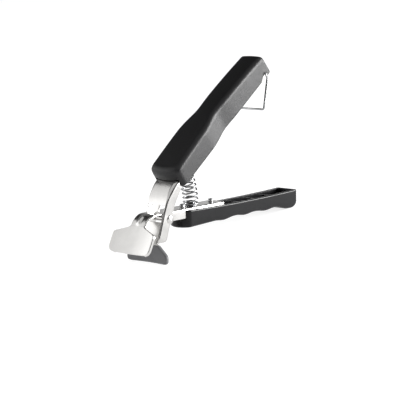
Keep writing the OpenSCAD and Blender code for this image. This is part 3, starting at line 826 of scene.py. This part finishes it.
# ---------------------------------------------------------------- the silicone sleeve
def sleeve():
    """The cover on the rear jaw's blade, lofted from its mouth down to its closed foot."""
    deep, top = REAR_DEEP + 1.0, 1.4
    front, rear, r = -1.05, 2.25, 1.15           # the sleeve's faces from the jaw's, and its edges
    mid = (front + rear) / 2
    right = spade_right(UARM_W / 2, REAR_HALF + 1.0, REAR_SLOPE, deep)
    dense = [a + (b - a) * k / 2 for a, b in zip(right[:-1], right[1:]) for k in range(2)] + [right[-1]]
    w = np.interp(top, [-d[1] for d in dense], [d[0] for d in dense])
    rows = [(w, -top)] + [(w, v) for w, v in dense if v <= -top]

    def loop(w, v, squeeze):
        """The cross-section at height v, with its thickness scaled by squeeze."""
        a0, a1 = mid + (front - mid) * squeeze, mid + (rear - mid) * squeeze
        rr = min(r, (a1 - a0) / 2)
        side = w - rr

        def arc(y, x, start):
            angles = (math.radians(a) for a in np.linspace(start, start + 90, 6))
            return [(y + rr * math.cos(a), x + rr * math.sin(a)) for a in angles]

        pts = [(y, a0) for y in np.linspace(-side, side, 15)]
        pts += arc(side, a0 + rr, -90)[1:] + arc(side, a1 - rr, 0)
        pts += [(y, a1) for y in np.linspace(side, -side, 15)[1:]]
        pts += arc(-side, a1 - rr, 90)[1:] + arc(-side, a0 + rr, 180)[:-1]
        return [[FOOT[0] + x - curve_in(y), y, FOOT[1] + v] for y, x in pts]

    loops = []
    w, v = rows[0]
    for a in (90, 60, 30):
        s = math.sin(math.radians(a))
        loops.append(loop(w - 0.3 * s, v - 0.3 * (1 - s), 1 - 0.18 * s))
    for w, v in rows[1:]:
        foot = ramp(-v, deep - r, deep)
        loops.append(loop(w, v, 1 - 0.62 * foot ** 2))
    m = Mesh()
    m.grid(loops, wrap=True)
    m.fan(loops[-1])
    m.fan(loops[0])
    return dress(m.object("rear_jaw_cover", sharp=50), SILICONE, "upper_body", ["rear_jaw_sleeve"])


# ---------------------------------------------------------------- round parts
def rivet():
    """The rivet's shank and its two domed heads."""
    m = Mesh()
    m.lathe((0, -UARM_W / 2, 0), (0, 1, 0), [(2.0, 0), (2.0, UARM_W)], 40)
    head = [(3.05, 0.0), (3.1, 0.12)]
    head += [(3.1 * c, 0.12 + 0.98 * s) for c, s in map(unit, (20, 40, 58, 72))]
    head += [(0.75, 1.09), (0.45, 1.0), (0.001, 0.93)]
    for k in (-1, 1):
        m.lathe((0, k * UARM_W / 2, 0), (0, k, 0), head, 40)
    return dress(m.object("pivot_rivet_heads", sharp=50), STEEL, "lower_body", ["pivot_rivet"])


def screws(name, node, places, axis, body, upper, reach):
    """Cylinder-headed screws: the head along axis from each place, the shank the other way."""
    r, h = 2.0, 2.4
    head = [(1.2, 0.0), (r - 0.12, 0.0), (r, 0.12), (r, h - 0.75), (r - 0.08, h - 0.5), (r - 0.3, h - 0.28),
            (1.35, h - 0.1), (0.95, h), (0.85, h - 0.1), (0.55, h - 0.75), (0.001, h - 0.85)]
    m = Mesh()
    for at in places:
        m.lathe(at, axis, head, 36)
        m.lathe(at, [-a for a in axis], [(1.2, 0), (1.2, reach), (0.001, reach + 0.4)], 20)
    return dress(m.object(name, upper=upper, sharp=50), WIRE, body, [node])


def post(name, node, x, web, away, body, upper):
    """A spring post: a dark plug on the spring's side of the web, a riveted end on the other."""
    plug = [(3.0, 0.0), (3.3, 0.12), (3.3, 1.9), (3.12, 2.5), (2.75, 3.1), (2.1, 3.6), (1.2, 3.92),
            (0.001, 4.0)]
    button = [(1.6, -0.9), (2.4, 0.02), (2.5, 0.2), (2.3, 0.85), (0.001, 0.9)]
    near, far = (web, web - SHEET) if away > 0 else (web - SHEET, web)
    m = Mesh()
    m.lathe((x, 0, near), (0, 0, away), plug, 40)
    m.lathe((x, 0, far), (0, 0, -away), button, 32)
    dress(m.object(name, upper=upper, sharp=50), STUD, body, [node])


def posts():
    seat = np.array([SEATS_X, WEB_Z]) + SPRING_R * ALONG
    post("lower_post", "lower_spring_post", POST_X, WEB_Z, 1, "lower_body", False)
    post("upper_post", "upper_spring_post", (seat - UPPER_AT) @ ALONG, UPPER_WEB_N, -1, "upper_body", True)


def spring():
    """A coil of eleven turns bent around (SEATS_X, WEB_Z), with a closed turn at each end."""
    turns, steps, wd, coil_d = 11, 32, 1.2, 12.0
    rc = (coil_d - wd) / 2
    closed = wd * 1.04 / (SPRING_R * OPEN)

    def share(t):
        if t < 1:
            return t * closed
        if t > turns - 1:
            return 1 - (turns - t) * closed
        return closed + (t - 1) / (turns - 2) * (1 - 2 * closed)

    ends = (wd / 2 + 0.05) / SPRING_R
    path = []
    for i in range(turns * steps + 1):
        psi = 2 * math.pi * i / steps
        a = ends + (OPEN - 2 * ends) * share(i / steps)
        q = SPRING_R + rc * math.cos(psi)
        path.append([SEATS_X + q * math.cos(a), rc * math.sin(psi), WEB_Z + q * math.sin(a)])
    m = Mesh()
    m.tube(path, wd / 2, 14)
    ob = m.object("return_coil", sharp=60)
    dress(ob, WIRE, None, ["return_spring"])
    a, b = stand([[POST_X, 0, WEB_Z + 0.6],
                  [SEATS_X + SPRING_R * math.cos(OPEN), 0, WEB_Z + SPRING_R * math.sin(OPEN)]])
    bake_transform(ob)
    return ob


def bail():
    """A wire loop with two ends turned in to the upper handle's bosses."""
    pin = UPPER_AT + BAIL_S * ALONG + BAIL_N * OFF
    kink, foot = pin + np.array([1.6, -4.2]), pin + np.array([-3.1, -27.3])
    side, inner, wire_r = 11.5, 7.0, 0.8
    half = [(pin, inner), (pin, side), (kink, side), (foot, side)]
    pts = [np.array([p[0], y, p[1]]) for p, y in half]
    pts += [p * np.array([1, -1, 1]) for p in reversed(pts)]
    radii = [0, 1.3, 2.0, 1.8, 1.8, 2.0, 1.3, 0]  # of the bend at each point
    path = []
    for i, p in enumerate(pts):
        if radii[i] == 0:
            path.append(p)
            continue
        a, b = pts[i - 1] - p, pts[i + 1] - p
        la, lb = np.linalg.norm(a), np.linalg.norm(b)
        a, b = a / la, b / lb
        cut = min(radii[i] / math.tan(math.acos(clip(a @ b, -1, 1)) / 2), la * 0.48, lb * 0.48)
        path += corner(p + a * cut, p, p + b * cut, 10)
    fine = [path[0]]
    for a, b in zip(path[:-1], path[1:]):
        n = max(1, int(np.linalg.norm(b - a) / 1.2))
        fine += [a + (b - a) * k / n for k in range(1, n + 1)]
    m = Mesh()
    m.tube(fine, wire_r, 16)
    return dress(m.object("bail_wire", sharp=60), WIRE, "bail", ["wire_bail"])


lower_handle()
upper_handle()
lower_arm()
upper_arm()
sleeve()
rivet()
screws("lower_screws", "lower_handle_screws", [(x, 0, WEB_Z) for x in LOWER_SCREWS],
       (0, 0, 1), "lower_body", False, 8.5)
screws("upper_screws", "upper_handle_screws", [(s, 0, UPPER_WEB_N - SHEET) for s in UPPER_SCREWS],
       (0, 0, -1), "upper_body", True, 6.5)
posts()
spring()
bail()


# ---------------------------------------------------------------- stage, light and camera
def floor_plane(size):
    m, _, p = material("floor")
    p.inputs["Base Color"].default_value = (0.42, 0.42, 0.42, 1)
    p.inputs["Emission Color"].default_value = (1, 1, 1, 1)
    p.inputs["Emission Strength"].default_value = 0.82
    p.inputs["Roughness"].default_value = 0.9
    p.inputs["Specular IOR Level"].default_value = 0.1
    me = bpy.data.meshes.new("floor")
    h = size / 2
    me.from_pydata([(-h, -h, 0), (h, -h, 0), (h, h, 0), (-h, h, 0)], [], [(0, 1, 2, 3)])
    me.materials.append(m)
    ob = link(bpy.data.objects.new("floor", me))


def vector_math(nt, operation, source):
    node = nt.nodes.new("ShaderNodeVectorMath")
    node.operation = operation
    nt.links.new(source, node.inputs[0])
    return node


def studio():
    """A room that is bright low down and dark overhead, for the steel and plastic to reflect."""
    by_height = [(0.0, 0.95), (0.3, 0.88), (0.52, 0.22), (0.7, 0.05), (1.0, 0.05)]
    world = bpy.data.worlds.new("studio")
    bpy.context.scene.world = world
    world.use_nodes = True
    nt = world.node_tree
    where = nt.nodes.new("ShaderNodeTexCoord").outputs["Generated"]
    split = nt.nodes.new("ShaderNodeSeparateXYZ")
    glow = nt.nodes.new("ShaderNodeValToRGB")
    nt.links.new(where, split.inputs["Vector"])
    nt.links.new(split.outputs["Z"], glow.inputs["Fac"])
    stops = glow.color_ramp.elements
    while len(stops) < len(by_height):
        stops.new(0.5)
    for k, (at, grey) in enumerate(by_height):
        stops[k].position = at
        stops[k].color = (grey, grey, grey, 1)
    # two dark sides: (direction, what is left of the light there, where it starts, where it is full)
    colour = glow.outputs["Color"]
    for towards, left, start, full in (((-0.718, -0.649, 0.252), 0.02, 0.20, 0.60),
                                       ((0.718, 0.649, 0.252), 0.22, 0.50, 0.85)):
        facing = vector_math(nt, "DOT_PRODUCT", where)
        facing.inputs[1].default_value = towards
        dim = vector_math(nt, "SCALE", colour)
        nt.links.new(spread(nt, facing.outputs["Value"], 1.0, left, start, full), dim.inputs["Scale"])
        colour = dim.outputs["Vector"]
    # a bright band at the horizon, so that low views see a pale wall
    band = vector_math(nt, "MAXIMUM", colour)
    nt.links.new(spread(nt, split.outputs["Z"], 0.7, 0.0, 0.045, 0.075), band.inputs[1])
    sky = nt.nodes["Background"]
    nt.links.new(band.outputs["Vector"], sky.inputs["Color"])
    sky.inputs["Strength"].default_value = 1.45


def sun(name, towards, power, spread_deg):
    li = bpy.data.lights.new(name, "SUN")
    li.energy = power
    li.angle = math.radians(spread_deg)
    ob = link(bpy.data.objects.new(name, li))
    ob.rotation_euler = Vector(towards).to_track_quat("-Z", "Y").to_euler()


def area(name, at, look, width, height, power):
    li = bpy.data.lights.new(name, "AREA")
    li.shape = "RECTANGLE"
    li.size, li.size_y = width, height
    li.energy = power
    ob = link(bpy.data.objects.new(name, li))
    ob.location = at
    ob.rotation_euler = (Vector(look) - Vector(at)).to_track_quat("-Z", "Y").to_euler()


def camera():
    """The photograph's viewpoint, as the camera's own right, up and back directions."""
    right = Vector((0.64772102, -0.75510151, -0.1013863))
    up = Vector((0.25579278, 0.09018179, 0.96251613))
    back = Vector((-0.71765419, -0.64937581, 0.25156216))
    cam = bpy.data.cameras.new("camera")
    ob = link(bpy.data.objects.new("camera", cam))
    pose = Matrix((right, up, back)).transposed().to_4x4()
    pose.translation = Vector((-0.85912999, -0.77469119, 0.3223678))
    ob.matrix_world = pose
    cam.sensor_width = 36
    cam.lens = 138.013
    cam.clip_start, cam.clip_end = 0.05, 50
    bpy.context.scene.camera = ob


floor_plane(12)
studio()
sun("overhead", (0.35, 0.3, -0.89), 0.8, 70)
area("steel_panel", (-0.75, 0.82, 0.62), (-0.05, 0, 0.04), 1.4, 1.1, 4.9)
area("rim_light", (0.85, -0.28, 0.78), (0.03, 0, 0.03), 0.35, 0.35, 0.6)
area("side_panel", (0.85, -0.78, 0.22), (0.02, 0, 0.06), 0.7, 0.4, 25.0)
camera()
bpy.context.scene.view_settings.view_transform = "Standard"
